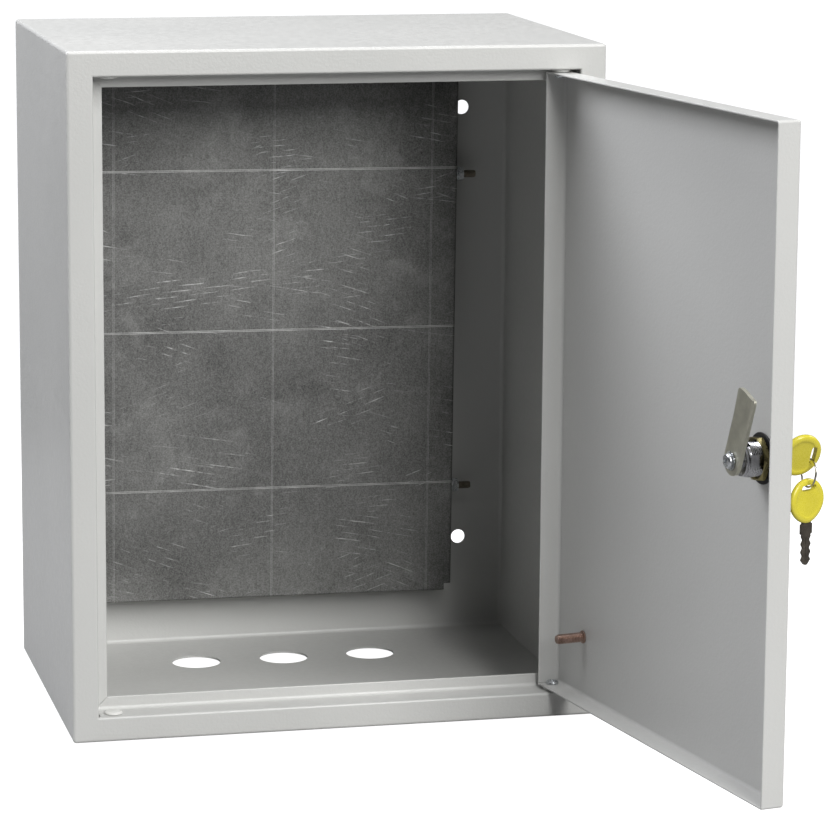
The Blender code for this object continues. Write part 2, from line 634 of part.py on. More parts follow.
def main():
    empty_scene()
    grey_paint = make_material("grey_paint", (0.60, 0.60, 0.585), 0.45, 0.0)
    zinc = make_material("zinc", (0.42, 0.43, 0.44), 0.38, 0.9)
    white_plastic = make_material("white_plastic", (0.80, 0.80, 0.78), 0.40, 0.0)
    copper = make_material("copper", (0.42, 0.24, 0.17), 0.40, 0.8)
    chrome = make_material("chrome", (0.62, 0.62, 0.63), 0.18, 1.0)
    black_rubber = make_material("black_rubber", (0.015, 0.015, 0.016), 0.60, 0.0)
    yellow_zinc = make_material("yellow_zinc", (0.50, 0.42, 0.18), 0.32, 0.9)
    nickel = make_material("nickel", (0.40, 0.39, 0.35), 0.30, 0.9)
    yellow_plastic = make_material("yellow_plastic", (0.66, 0.58, 0.03), 0.35, 0.0)
    bronze = make_material("bronze", (0.045, 0.038, 0.030), 0.40, 0.6)
    ring_wire = make_material("ring_wire", (0.55, 0.55, 0.56), 0.20, 1.0)

    make_casing(grey_paint)
    for name, up in (("lower", 1), ("upper", -1)):
        make_hinge(name, white_plastic, zinc, up)
        make_hinge_plug(name, white_plastic, up)

    plate_axis = add_empty("plate_axis", (PLATE_CENTRE[0], 0.0, PLATE_CENTRE[1]))
    plate_axis.rotation_euler = (0.0, PLATE_TILT, 0.0)
    make_plate(zinc, plate_axis)
    for side, side_name in ((-1, "left"), (1, "right")):
        for height, end_name in zip(FIXING_HEIGHTS, ("lower", "upper")):
            make_fixing(f"{end_name}_{side_name}", side, height, grey_paint, zinc, plate_axis)

    door_axis = add_empty("door_axis", (HINGE_X, HINGE_Y, 0.0))
    door_axis.rotation_euler = (0.0, 0.0, DOOR_OPEN_ANGLE)
    make_door(grey_paint, door_axis)
    make_earth_stud(copper, door_axis)
    make_lock_body(chrome, black_rubber, yellow_zinc, door_axis)

    lock_place = (DOOR_EDGE_TO_AXIS - LOCK_FROM_HINGE_EDGE, -DOOR_FACE_TO_AXIS, LOCK_HEIGHT)
    lock_axis = add_empty("lock_axis", lock_place, door_axis)
    lock_axis.rotation_euler = (0.0, LOCK_REST_ANGLE, 0.0)
    make_lock_plug(chrome, lock_axis)
    make_cam(nickel, lock_axis)
    make_cam_fasteners(zinc, lock_axis)
    make_keys(yellow_plastic, bronze, ring_wire, door_axis, lock_axis)


main()
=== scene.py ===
import math

import bmesh
import bpy
from mathutils import Matrix, Vector


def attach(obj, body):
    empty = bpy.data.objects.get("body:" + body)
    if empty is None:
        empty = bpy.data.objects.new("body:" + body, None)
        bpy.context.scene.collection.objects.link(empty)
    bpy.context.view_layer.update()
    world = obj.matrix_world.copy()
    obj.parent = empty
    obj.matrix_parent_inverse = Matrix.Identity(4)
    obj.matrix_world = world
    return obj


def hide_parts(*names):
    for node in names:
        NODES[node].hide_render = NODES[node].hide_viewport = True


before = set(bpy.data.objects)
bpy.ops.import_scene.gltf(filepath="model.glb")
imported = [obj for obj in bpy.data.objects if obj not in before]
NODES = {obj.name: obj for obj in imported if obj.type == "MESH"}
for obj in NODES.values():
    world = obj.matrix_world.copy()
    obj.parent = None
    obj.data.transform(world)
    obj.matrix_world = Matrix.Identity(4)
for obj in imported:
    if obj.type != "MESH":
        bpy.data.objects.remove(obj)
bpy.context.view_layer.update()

# ---- dimensions shared with the CAD model (metres) ----
WIDTH, HEIGHT, SHEET, GAP = 0.310, 0.395, 0.0012, 0.0003
FRONT, REAR, MIDDLE = -0.110, 0.110, 0.1975
FRAME_SIDE, FRAME_END = 0.0150, 0.0145
RECESS, LIP = 0.0177, 0.0075
LEDGE_LOW, LEDGE_HIGH = FRAME_END, HEIGHT - FRAME_END
HINGE = Vector((0.1305, -0.1015, 0.0))
HINGE_HOLE, CABLE_HOLE, WALL_HOLE = 0.0041, 0.0150, 0.0045
CABLE_HOLE_PITCH, CABLE_HOLE_FROM_REAR = 0.055, 0.056
WALL_HOLE_X, WALL_HOLE_HEIGHTS = 0.125, (0.0605, 0.3365)
DOOR_OPEN, LOCK_LEAN, PLATE_TILT = math.radians(100), math.radians(-22), math.radians(0.45)
DOOR_FACE, DOOR_EDGE, DOOR_WIDTH, DOOR_DEPTH, DOOR_GAP = -0.0070, 0.0062, 0.2750, 0.0136, 0.0019
DOOR_HALF_HEIGHT = MIDDLE - FRAME_END - DOOR_GAP
LOCK = Vector((DOOR_EDGE - 0.2445, DOOR_FACE, 0.1980))
STUD = Vector((DOOR_EDGE - 0.0350, DOOR_FACE + SHEET, 0.0523))
PLATE_WIDTH, PLATE_HEIGHT, PLATE_DEPTH, PLATE_FACE = 0.2328, 0.3410, 0.0180, 0.0880
PLATE_CENTRE = (0.0003, 0.0, 0.2020)
FIXINGS, FIXING_Y, FIXING_HOLE = (-0.1040, 0.0950), 0.0960, 0.0028
CAM_LEVEL, CAM_THICKNESS, CAM_LENGTH, CAM_HALF = 0.01765, 0.0022, 0.0408, 0.0080
BOW_HALF_WIDTH, BOW_HALF_LENGTH, BOW_THICKNESS = 0.0124, 0.0120, 0.0036
SHOULDER, BLADE, SLOT_FROM_END, SLOT_HALF, SLOT_ENDS = 0.0066, 0.0157, 0.0048, 0.0015, 0.0038
RING_RADIUS, RING_WIRE, RING_LEAN = 0.0074, 0.00055, math.radians(7)
WIRE_IN_SLOT, SPARE_YAW = -0.0032, math.radians(18)
BARREL_FRONT, BARREL_END, BARREL_RADIUS, BARREL_HALF_FLAT = -0.0021, 0.0135, 0.0094, 0.0085

# ---- hardware sizes (metres) ----
# screw: head radius, head height, shank radius, length, thread pitch
PIVOT_SCREW = (0.0036, 0.0019, 0.0020, 0.0105, 0.0007)
FIXING_SCREW = (0.0043, 0.0030, 0.0024, 0.0166, 0.0008)
CAM_SCREW = (0.0041, 0.0022, 0.0018, 0.0060, 0.0007)
# nut: width across flats, height, bore radius
PIVOT_NUT = (0.0070, 0.0030, 0.0023)
FIXING_NUT = (0.0080, 0.0038, 0.0027)
BARREL_NUT = (0.0225, 0.0035, BARREL_RADIUS + GAP)
# washer: outer radius, inner radius, height
FIXING_WASHER = (0.0050, 0.0027, 0.0010)
LOCK_SEAL = (0.0138, BARREL_RADIUS + GAP, 0.0010)

DOOR = Matrix.Translation(HINGE) @ Matrix.Rotation(DOOR_OPEN, 4, "Z")
LOCK_AXIS = DOOR @ Matrix.Translation(LOCK) @ Matrix.Rotation(LOCK_LEAN, 4, "Y")
PLATE = Matrix.Translation(PLATE_CENTRE) @ Matrix.Rotation(PLATE_TILT, 4, "Y")
WORLD = Matrix.Identity(4)

# ---- studio ----
# The camera sees the floor and the air as white. All other rays get FLOOR_TONE and AIR_LIGHT from them.
AIR_SEEN, AIR_LIGHT, FLOOR_TONE, FLOOR_REACH = 1.1, 0.05, 0.30, 0.9
FLOOR_LEVEL, STUDIO_Y = -0.0005, -0.1
LIGHT_TARGET = (0.0, STUDIO_Y, 0.18)
# Each light: name, azimuth from the front towards the hinge side and elevation in degrees, distance and size
# in metres, watts, colour.
LIGHTS = (
    ("key_light", 16.0, 33.0, 2.6, (1.1, 1.8), 70.0, (1.0, 1.0, 0.985)),
    ("top_light", 0.0, 84.0, 2.0, (0.9, 0.9), 11.0, (1.0, 1.0, 1.0)),
    ("hinge_side", 100.0, 30.0, 2.4, (1.0, 1.0), 17.0, (1.0, 1.0, 1.0)),
    ("side_fill", -111.0, 48.0, 1.4, (0.9, 0.9), 20.0, (0.96, 0.97, 1.0)),
)

# ---- mesh helpers ----


def arc(centre, radius, start, end, steps=6):
    """Points along an arc, whose angles are in degrees."""
    points = []
    for i in range(steps + 1):
        angle = math.radians(start + (end - start) * i / steps)
        points.append((centre[0] + radius * math.cos(angle), centre[1] + radius * math.sin(angle)))
    return points


def circle(radius, steps=48):
    return [(radius * math.cos(2 * math.pi * i / steps), radius * math.sin(2 * math.pi * i / steps))
            for i in range(steps)]


def loft(rings, closed=False):
    """Quads between rings of points. Closed joins the last ring to the first, and open caps both ends."""
    count = len(rings[0])
    vertices = [point for ring in rings for point in ring]
    faces = []
    for r in range(len(rings) if closed else len(rings) - 1):
        a, b = r * count, ((r + 1) % len(rings)) * count
        faces += [(a + i, a + (i + 1) % count, b + (i + 1) % count, b + i) for i in range(count)]
    if not closed:
        faces.append(tuple(reversed(range(count))))
        faces.append(tuple(range((len(rings) - 1) * count, len(rings) * count)))
    return vertices, faces


def turned(profile, steps=48):
    """A shape turned about Z from points of radius and height, solid if the profile starts on the axis."""
    on_axis = profile[0][0] == 0.0
    body = profile[1:-1] if on_axis else profile
    return loft([[(x, y, z) for x, y in circle(r, steps)] for r, z in body], closed=not on_axis)


def prism(outline, low, high):
    return loft([[(x, y, low) for x, y in outline], [(x, y, high) for x, y in outline]])


def box(low, high):
    corners = [(low[0], low[1]), (high[0], low[1]), (high[0], high[1]), (low[0], high[1])]
    return prism(corners, low[2], high[2])


def moved(shape, location=(0, 0, 0), axis=(0, 0, 1), spin=0.0):
    turn = Vector((0, 0, 1)).rotation_difference(Vector(axis)).to_matrix().to_4x4()
    matrix = Matrix.Translation(location) @ turn @ Matrix.Rotation(spin, 4, "Z")
    return [matrix @ Vector(v) for v in shape[0]], shape[1]


def mesh_object(name, shape):
    mesh = bpy.data.meshes.new(name)
    mesh.from_pydata([tuple(v) for v in shape[0]], [], shape[1])
    builder = bmesh.new()
    builder.from_mesh(mesh)
    bmesh.ops.recalc_face_normals(builder, faces=builder.faces)
    builder.to_mesh(mesh)
    builder.free()
    item = bpy.data.objects.new(name, mesh)
    bpy.context.scene.collection.objects.link(item)
    return item


def carve(item, shapes, operation="DIFFERENCE"):
    """Cuts the shapes out of the item and bakes the result into its mesh."""
    tools = [mesh_object("tool", shape) for shape in shapes]
    for tool in tools:
        modifier = item.modifiers.new("cut", "BOOLEAN")
        modifier.object = tool
        modifier.operation = operation
        modifier.solver = "EXACT"
    graph = bpy.context.evaluated_depsgraph_get()
    mesh = bpy.data.meshes.new_from_object(item.evaluated_get(graph))
    item.modifiers.clear()
    item.data = mesh
    for tool in tools:
        bpy.data.objects.remove(tool, do_unlink=True)


def piece(item, matrix, body, slot, material, *nodes, bevel=0.0, angle=40.0, segments=2):
    """Places a finished piece, gives it its material and soft edges, and lets it ride on its body."""
    item.data.materials.clear()
    item.data.materials.append(material)
    item.data.shade_smooth()
    if bevel:
        modifier = item.modifiers.new("soft_edges", "BEVEL")
        modifier.width = bevel
        modifier.segments = segments
        modifier.limit_method = "ANGLE"
        modifier.angle_limit = math.radians(angle)
        modifier.harden_normals = True
    else:
        item.data.set_sharp_from_angle(angle=math.radians(angle))
        weights = item.modifiers.new("even_shading", "WEIGHTED_NORMAL")
        weights.keep_sharp = True
    item.matrix_world = matrix
    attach(item, body)
    if nodes:
        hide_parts(*nodes)
    return item


# ---- materials ----


class Shader:
    """A Principled material with short ways to add nodes."""

    def __init__(self, name, roughness, metallic, **values):
        self.material = bpy.data.materials.new(name)
        self.material.use_nodes = True
        self.tree = self.material.node_tree
        self.main = self.tree.nodes["Principled BSDF"]
        self.main.inputs["Roughness"].default_value = roughness
        self.main.inputs["Metallic"].default_value = metallic
        for key, value in values.items():
            self.main.inputs[key.replace("_", " ")].default_value = value
        self.place = self.tree.nodes.new("ShaderNodeTexCoord").outputs["Object"]

    def link(self, a, b):
        if isinstance(a, (int, float)):
            b.default_value = a
        elif isinstance(a, (tuple, list)):
            b.default_value = (*a, 1.0) if len(a) == 3 and len(b.default_value) == 4 else a
        else:
            self.tree.links.new(a, b)

    def mapped(self, scale=(1, 1, 1), rotation=(0, 0, 0), location=(0, 0, 0), source=None):
        node = self.tree.nodes.new("ShaderNodeMapping")
        node.inputs["Scale"].default_value = scale
        node.inputs["Rotation"].default_value = rotation
        node.inputs["Location"].default_value = location
        self.link(source or self.place, node.inputs["Vector"])
        return node.outputs["Vector"]

    def noise(self, scale, detail=2.0, rough=0.5, source=None, distortion=0.0):
        node = self.tree.nodes.new("ShaderNodeTexNoise")
        node.inputs["Scale"].default_value = scale
        node.inputs["Detail"].default_value = detail
        node.inputs["Roughness"].default_value = rough
        node.inputs["Distortion"].default_value = distortion
        self.link(source or self.place, node.inputs["Vector"])
        return node.outputs["Fac"]

    def math(self, operation, a, b=0.0, clamp=False):
        node = self.tree.nodes.new("ShaderNodeMath")
        node.operation = operation
        node.use_clamp = clamp
        self.link(a, node.inputs[0])
        self.link(b, node.inputs[1])
        return node.outputs[0]

    def band(self, value, low, high, out_low=0.0, out_high=1.0):
        node = self.tree.nodes.new("ShaderNodeMapRange")
        node.inputs["From Min"].default_value = low
        node.inputs["From Max"].default_value = high
        node.inputs["To Min"].default_value = out_low
        node.inputs["To Max"].default_value = out_high
        self.link(value, node.inputs["Value"])
        return node.outputs["Result"]

    def mix(self, factor, a, b):
        node = self.tree.nodes.new("ShaderNodeMix")
        node.data_type = "RGBA"
        self.link(factor, node.inputs["Factor"])
        self.link(a, node.inputs["A"])
        self.link(b, node.inputs["B"])
        return node.outputs["Result"]

    def split(self, source=None):
        node = self.tree.nodes.new("ShaderNodeSeparateXYZ")
        self.link(source or self.place, node.inputs[0])
        return node.outputs

    def bump(self, height, distance, strength=1.0):
        node = self.tree.nodes.new("ShaderNodeBump")
        node.inputs["Distance"].default_value = distance
        node.inputs["Strength"].default_value = strength
        self.link(height, node.inputs["Height"])
        self.link(node.outputs["Normal"], self.main.inputs["Normal"])

    def set(self, colour=None, roughness=None):
        if colour is not None:
            self.link(colour, self.main.inputs["Base Color"])
        if roughness is not None:
            self.link(roughness, self.main.inputs["Roughness"])
        return self.material


def powder_coat(name, light, dark, scuff=None):
    """Fine orange-peel powder coat with faint cloudiness. A scuff is (centre, radius) of a rubbed patch."""
    s = Shader(name, 0.36, 0.0)
    cloud = s.noise(7.0, 3.0)
    speck = s.noise(1500.0, 1.0)
    colour = s.mix(s.band(cloud, 0.3, 0.7), dark, light)
    colour = s.mix(s.band(speck, 0.62, 0.80, 0.0, 0.10), colour, (0.85, 0.85, 0.84))
    grime = s.band(s.noise(60.0, 4.0, 0.7), 0.68, 0.80, 0.0, 0.10)
    colour = s.mix(grime, colour, (0.30, 0.30, 0.29))
    if scuff:
        away = s.tree.nodes.new("ShaderNodeVectorMath")
        away.operation = "DISTANCE"
        s.link(s.place, away.inputs[0])
        away.inputs[1].default_value = scuff[0]
        inside = s.band(away.outputs["Value"], scuff[1], scuff[1] * 0.4)
        dots = s.band(s.noise(1100.0, 2.0), 0.50, 0.56)
        colour = s.mix(s.math("MULTIPLY", inside, dots), colour, (0.80, 0.80, 0.78))
    peel = s.math("ADD", s.noise(620.0, 1.0), s.math("MULTIPLY", s.noise(1700.0, 1.0), 0.35))
    s.bump(peel, 0.00022, 0.42)
    return s.set(colour, s.band(s.noise(300.0, 2.0), 0.3, 0.7, 0.30, 0.42))


def scratch_layer(s, angle, length, pitch, width, seed, bend=0.004):
    """A mask of thin, nearly straight marks that all run at one angle across the XZ plane."""
    wobble = s.tree.nodes.new("ShaderNodeVectorMath")
    wobble.operation = "MULTIPLY_ADD"
    noise = s.tree.nodes.new("ShaderNodeTexNoise")
    noise.inputs["Scale"].default_value = 20.0
    s.link(s.place, noise.inputs["Vector"])
    s.link(noise.outputs["Color"], wobble.inputs[0])
    wobble.inputs[1].default_value = (bend, bend, bend)
    s.link(s.place, wobble.inputs[2])
    turned_place = s.mapped(rotation=(0, angle, 0), location=(seed, 0, seed * 0.7),
                            source=wobble.outputs[0])
    axes = s.split(turned_place)
    row = s.math("MULTIPLY", axes[2], 1.0 / pitch)
    shift = s.math("MULTIPLY", s.math("FLOOR", row), 0.618034 * length)
    along = s.math("MULTIPLY", s.math("ADD", axes[0], shift), 1.0 / length)
    across = s.math("ABSOLUTE", s.math("SUBTRACT", s.math("FRACT", row), 0.5))
    line = s.band(across, width / pitch, width / pitch * 0.4)
    ends = s.band(s.math("ABSOLUTE", s.math("SUBTRACT", s.math("FRACT", along), 0.5)), 0.38, 0.20)
    return s.math("MULTIPLY", line, ends)


def galvanised(name, scribes):
    """Zinc-coated sheet with fine grain, soft smudges, a painted shade along its top edge, clusters of thin
    scratches and scribed twin lines.

    Each scribe is the axis it crosses, its places along that axis, and its strength."""
    s = Shader(name, 0.40, 1.0)
    grain = s.noise(1100.0, 3.0, 0.7)
    weave = s.noise(640.0, 2.0, 0.6, s.mapped(scale=(1, 1, 0.5)))
    patch = s.noise(16.0, 3.0, 0.6)
    smudge = s.noise(30.0, 4.0, 0.65, s.mapped(location=(3.1, 0, 1.7)), 0.4)
    tone = s.math("ADD", s.band(grain, 0.3, 0.7, -0.10, 0.10), s.band(patch, 0.3, 0.7, 0.21, 0.30))
    tone = s.math("ADD", tone, s.band(weave, 0.3, 0.7, -0.03, 0.03))
    tone = s.math("ADD", tone, s.band(smudge, 0.56, 0.72, 0.0, 0.09))
    axes = s.split()
    # Painted shade: the colour falls to 0.4 of itself over the top 25 mm of the plate, standing in for the
    # shadow of the casing's top.
    tone = s.math("MULTIPLY", tone, s.band(axes[2], 0.170, 0.146, 0.40, 1.0))
    colour = s.mix(tone, (0.0, 0.0, 0.0), (0.97, 0.97, 0.95))
    marks = None
    for i, (angle, length, pitch) in enumerate((  # radians, metres, metres
            (0.10, 0.026, 0.0033), (-0.18, 0.044, 0.0041), (-0.36, 0.030, 0.0046), (0.34, 0.020, 0.0044),
            (-0.14, 0.080, 0.0083))):
        seed = 0.37 + 0.61 * i
        layer = scratch_layer(s, angle, length, pitch, 0.00030, seed)
        region = s.noise(24.0, 2.0, source=s.mapped(scale=(0.7, 1, 1), location=(seed * 3, 0, seed)))
        layer = s.math("MULTIPLY", layer, s.band(region, 0.60, 0.67))
        marks = layer if marks is None else s.math("MAXIMUM", marks, layer)
    worn = s.band(s.noise(160.0, 3.0, 0.6), 0.42, 0.60, 0.10, 1.0)
    marks = s.math("MULTIPLY", marks, worn)
    colour = s.mix(s.math("MULTIPLY", marks, 0.70), colour, (1.0, 1.0, 1.0))
    line = None
    for axis, offsets, strength in scribes:
        for offset in offsets:
            away = s.math("ABSOLUTE", s.math("SUBTRACT", axes[axis], offset))
            twin = s.math("ABSOLUTE", s.math("SUBTRACT", away, 0.00040))
            mark = s.math("MULTIPLY", s.band(twin, 0.00022, 0.00008), strength)
            line = mark if line is None else s.math("MAXIMUM", line, mark)
    fade = s.band(s.noise(70.0, 3.0), 0.25, 0.60, 0.30, 0.90)
    scribe = s.math("MULTIPLY", line, fade)
    colour = s.mix(scribe, colour, (0.95, 0.95, 0.94))
    rough = s.math("ADD", s.band(patch, 0.3, 0.7, 0.38, 0.46), s.math("MULTIPLY", marks, 0.25))
    height = s.math("SUBTRACT", s.math("MULTIPLY", grain, 0.5), s.math("MAXIMUM", marks, scribe))
    s.bump(height, 0.00004, 0.5)
    return s.set(colour, rough)


def metal(name, light, dark, roughness, grain=400.0, stretch=(1, 1, 1), bump=0.00003, metallic=1.0):
    """Plated metal with drifting tone, fine scratches and uneven gloss."""
    s = Shader(name, roughness, metallic)
    fine = s.noise(grain, 3.0, 0.7, source=s.mapped(scale=stretch))
    broad = s.noise(150.0, 3.0)
    drift = s.math("ADD", s.math("MULTIPLY", fine, 0.4), s.math("MULTIPLY", broad, 0.6))
    colour = s.mix(s.band(drift, 0.35, 0.65), dark, light)
    s.bump(fine, bump, 0.5)
    return s.set(colour, s.band(fine, 0.3, 0.7, roughness - 0.08, roughness + 0.08))


def plastic(name, light, dark, roughness, **values):
    s = Shader(name, roughness, 0.0, **values)
    broad = s.noise(90.0, 3.0)
    fine = s.noise(1800.0, 1.0)
    s.bump(fine, 0.00003, 0.35)
    colour = s.mix(s.band(broad, 0.3, 0.7), dark, light)
    return s.set(colour, s.band(fine, 0.3, 0.7, roughness - 0.05, roughness + 0.06))


PAINT = powder_coat("grey_powder_coat", (0.600, 0.600, 0.588), (0.565, 0.567, 0.556),
                    ((0.1525, -0.045, 0.365), 0.011))
PAINT_DOOR = powder_coat("door_powder_coat", (0.600, 0.600, 0.590), (0.570, 0.571, 0.562))
ZINC_SHEET = galvanised("galvanised_sheet", ((0, (-0.1, 0.0, 0.1), 0.35), (2, (-0.1, 0.0, 0.1), 0.9)))
ZINC = metal("bright_zinc", (0.72, 0.74, 0.76), (0.48, 0.50, 0.53), 0.28)
BOLT = metal("bolt_thread", (0.36, 0.32, 0.26), (0.14, 0.12, 0.10), 0.34)
COPPER = metal("copper_plate", (0.52, 0.38, 0.32), (0.24, 0.16, 0.13), 0.36, 700.0)
CHROME = metal("lock_chrome", (0.54, 0.54, 0.56), (0.36, 0.36, 0.38), 0.20)
YELLOW_ZINC = metal("yellow_passivate", (0.30, 0.26, 0.12), (0.16, 0.14, 0.07), 0.30)
NICKEL = metal("cam_nickel", (0.60, 0.59, 0.50), (0.48, 0.47, 0.40), 0.44, 900.0, (1, 1, 0.08))
BRONZE = metal("blade_bronze", (0.135, 0.118, 0.098), (0.060, 0.052, 0.044), 0.42, 1200.0, metallic=0.6)
WIRE = metal("ring_steel", (0.62, 0.60, 0.57), (0.40, 0.38, 0.35), 0.22)
RUBBER = plastic("black_seal", (0.012, 0.012, 0.013), (0.006, 0.006, 0.007), 0.60)
WHITE = plastic("white_nylon", (0.80, 0.80, 0.78), (0.72, 0.72, 0.70), 0.38)
YELLOW = plastic("yellow_grip", (0.68, 0.60, 0.055), (0.62, 0.54, 0.050), 0.27)

# ---- casing ----


def tray(name, half_x, half_z, centre, profile, corner, steps=4):
    """A folded sheet from rings. A profile point is a side inset, a Y position and perhaps an end inset."""
    rings = []
    for inset, y, *end_inset in profile:
        radius = max(corner - inset, 0.0002)
        hx, hz = half_x - inset, half_z - (end_inset[0] if end_inset else inset)
        outline = []
        for sx, sz, start in ((1, 1, 0), (-1, 1, 90), (-1, -1, 180), (1, -1, 270)):
            outline += arc((sx * (hx - radius), sz * (hz - radius)), radius, start, start + 90, steps)
        rings.append([(centre[0] + x, y, centre[1] + z) for x, z in outline])
    return mesh_object(name, loft(rings))


def casing_profile():
    lip_y = FRONT + RECESS
    lip_end = FRAME_SIDE + LIP
    bend, fold, lip_bend, rear = 0.0018, 0.0013, 0.0022, 0.0026
    points = arc((bend, REAR - bend), bend, 90, 180)
    points += arc((bend, FRONT + bend), bend, 180, 270)
    inner = arc((FRAME_SIDE - fold, FRONT + fold), fold, 270, 360)
    inner += arc((FRAME_SIDE + lip_bend, lip_y - lip_bend), lip_bend, 180, 90)
    inner += arc((lip_end - 0.0006, lip_y + 0.0006), 0.0006, 270, 450, 8)
    inner += arc((FRAME_SIDE + lip_bend, lip_y - lip_bend), lip_bend + SHEET, 90, 180)
    inner += arc((FRAME_SIDE - fold, FRONT + fold), fold - SHEET + 0.0001, 360, 270)
    points += [(inset, y, inset - FRAME_SIDE + FRAME_END) for inset, y in inner]
    points += arc((bend, FRONT + bend), bend - SHEET, 270, 180)
    points += arc((SHEET + rear, REAR - SHEET - rear), rear, 180, 90)
    return points


def make_casing():
    casing = tray("casing_shell", WIDTH / 2, HEIGHT / 2, (0.0, MIDDLE), casing_profile(), 0.0020)
    cuts = []
    for x in (-CABLE_HOLE_PITCH, 0.0, CABLE_HOLE_PITCH):
        hole = prism(circle(CABLE_HOLE, 96), -0.004, 0.004)
        cuts.append(moved(hole, (x, REAR - CABLE_HOLE_FROM_REAR, 0.0)))
    for side in (-1, 1):
        for z in WALL_HOLE_HEIGHTS:
            hole = prism(circle(WALL_HOLE, 64), -0.004, 0.004)
            cuts.append(moved(hole, (side * WALL_HOLE_X, REAR, z), (0, 1, 0)))
        for ledge in (LEDGE_LOW, LEDGE_HIGH):
            hole = prism(circle(HINGE_HOLE, 48), -0.003, 0.003)
            cuts.append(moved(hole, (side * HINGE.x, HINGE.y, ledge)))
            corner = WIDTH / 2 - FRAME_SIDE
            near, far = sorted((side * (corner - 0.0012), side * (corner + 0.0004)))
            cuts.append(box((near, FRONT + 0.0022, ledge - 0.0022), (far, FRONT + 0.0135, ledge + 0.0022)))
            cuts.append(lip_mitre(side, 1 if ledge > MIDDLE else -1))
            cuts.append(rear_mitre(side, 1 if ledge > MIDDLE else -1))
    carve(casing, cuts)
    return piece(casing, WORLD, "cabinet", "grey_paint", PAINT, "casing", angle=32)


def strip(start, end, half_width, low, high):
    """A thin upright slot in XZ between two points, from Y low to Y high."""
    along = Vector((end[0] - start[0], 0, end[1] - start[1])).normalized()
    across = Vector((-along.z, 0, along.x)) * half_width
    a, b = Vector((start[0], 0, start[1])), Vector((end[0], 0, end[1]))
    corners = [a + across, b + across, b - across, a - across]
    return loft([[(c.x, low, c.z) for c in corners], [(c.x, high, c.z) for c in corners]])


def lip_mitre(side, end):
    """The open joint between two lips at a corner of the opening, a scratch deep."""
    x, z = WIDTH / 2 - FRAME_SIDE, HEIGHT / 2 - FRAME_END
    front = FRONT + RECESS
    outer, inner = 0.0026, LIP - 0.0004
    return strip((side * (x - outer), MIDDLE + end * (z - outer)),
                 (side * (x - inner), MIDDLE + end * (z - inner)), 0.00013, front - 0.002, front + 0.0006)


def rear_mitre(side, end):
    """A shallow folded seam across the corner of the rear wall."""
    x, z = WIDTH / 2 - 0.0030, HEIGHT / 2 - 0.0030
    reach = 0.048
    return strip((side * x, MIDDLE + end * z), (side * (x - reach), MIDDLE + end * (z - reach)), 0.00022,
                 REAR - SHEET - 0.004, REAR - SHEET + 0.0004)


# ---- door ----


def make_door():
    rim = DOOR_FACE + DOOR_DEPTH
    bend, fold = 0.0020, 0.0018
    profile = arc((bend, DOOR_FACE + bend), bend, 270, 180, 8)
    profile += arc((0.0005, rim - 0.0005), 0.0005, 180, 90, 3)
    profile += arc((SHEET - 0.0005, rim - 0.0005), 0.0005, 90, 0, 3)
    profile += arc((SHEET + fold, DOOR_FACE + SHEET + fold), fold, 180, 270, 8)
    centre = (DOOR_EDGE - DOOR_WIDTH / 2, MIDDLE)
    door = tray("door_shell", DOOR_WIDTH / 2, DOOR_HALF_HEIGHT, centre, profile, 0.0014)
    cuts = []
    for side in (-1, 1):
        z = MIDDLE + side * DOOR_HALF_HEIGHT
        cuts.append(moved(prism(circle(0.0023, 32), -0.003, 0.003), (0, 0, z)))
        for edge in (-1, 1):
            x = centre[0] + edge * (DOOR_WIDTH / 2 - SHEET - GAP)
            z_in = z - side * (SHEET + GAP)
            left, right = sorted((x, x + edge * 0.0006))
            under, over = sorted((z_in, z_in + side * 0.0006))
            cuts.append(box((left, rim - 0.0104, under), (right, rim + 0.001, over)))
    limit = BARREL_HALF_FLAT
    double_d = [(max(-limit, min(limit, x)), y) for x, y in circle(BARREL_RADIUS + GAP, 64)]
    cuts.append(moved(prism(double_d, -0.004, 0.004), (LOCK.x, DOOR_FACE, LOCK.z), (0, 1, 0)))
    crease_x = DOOR_EDGE - SHEET - fold - 0.0006
    dashes, dash_pitch, dash_length, half_crease = 22, 0.0162, 0.0155, 0.00022
    for i in range(dashes):
        z = MIDDLE - DOOR_HALF_HEIGHT + 0.010 + i * dash_pitch
        cuts.append(box((crease_x - half_crease, DOOR_FACE + SHEET - 0.00012, z),
                        (crease_x + half_crease, DOOR_FACE + 0.004, z + dash_length)))
    carve(door, cuts)
    return piece(door, DOOR, "door", "grey_paint", PAINT_DOOR, "door_tray", angle=32)


# ---- threaded and turned hardware ----


def threaded(radius, pitch, start, end, depth=None, steps=28, flat=None):
    """Rings of a helical thread along Z, with a chamfered end. flat is where both X sides are cut off."""
    depth = depth or pitch * 0.55
    count = max(2, int((end - start) / pitch * 8))
    rings = []
    for k in range(count + 1):
        z = start + (end - start) * k / count
        lead = min(1.0, (end - z) / (pitch * 1.2))
        ring = []
        for i in range(steps):
            turn = (z / pitch - i / steps) % 1.0
            ridge = 1.0 - abs(2.0 * turn - 1.0)
            r = radius - depth * (1.0 - min(1.0, ridge * 1.35) * lead)
            x, y = r * math.cos(2 * math.pi * i / steps), r * math.sin(2 * math.pi * i / steps)
            ring.append((max(-flat, min(flat, x)) if flat else x, y, z))
        rings.append(ring)
    return rings


def smooth_rings(profile, steps=28):
    return [[(x, y, z) for x, y in circle(r, steps)] for r, z in profile]


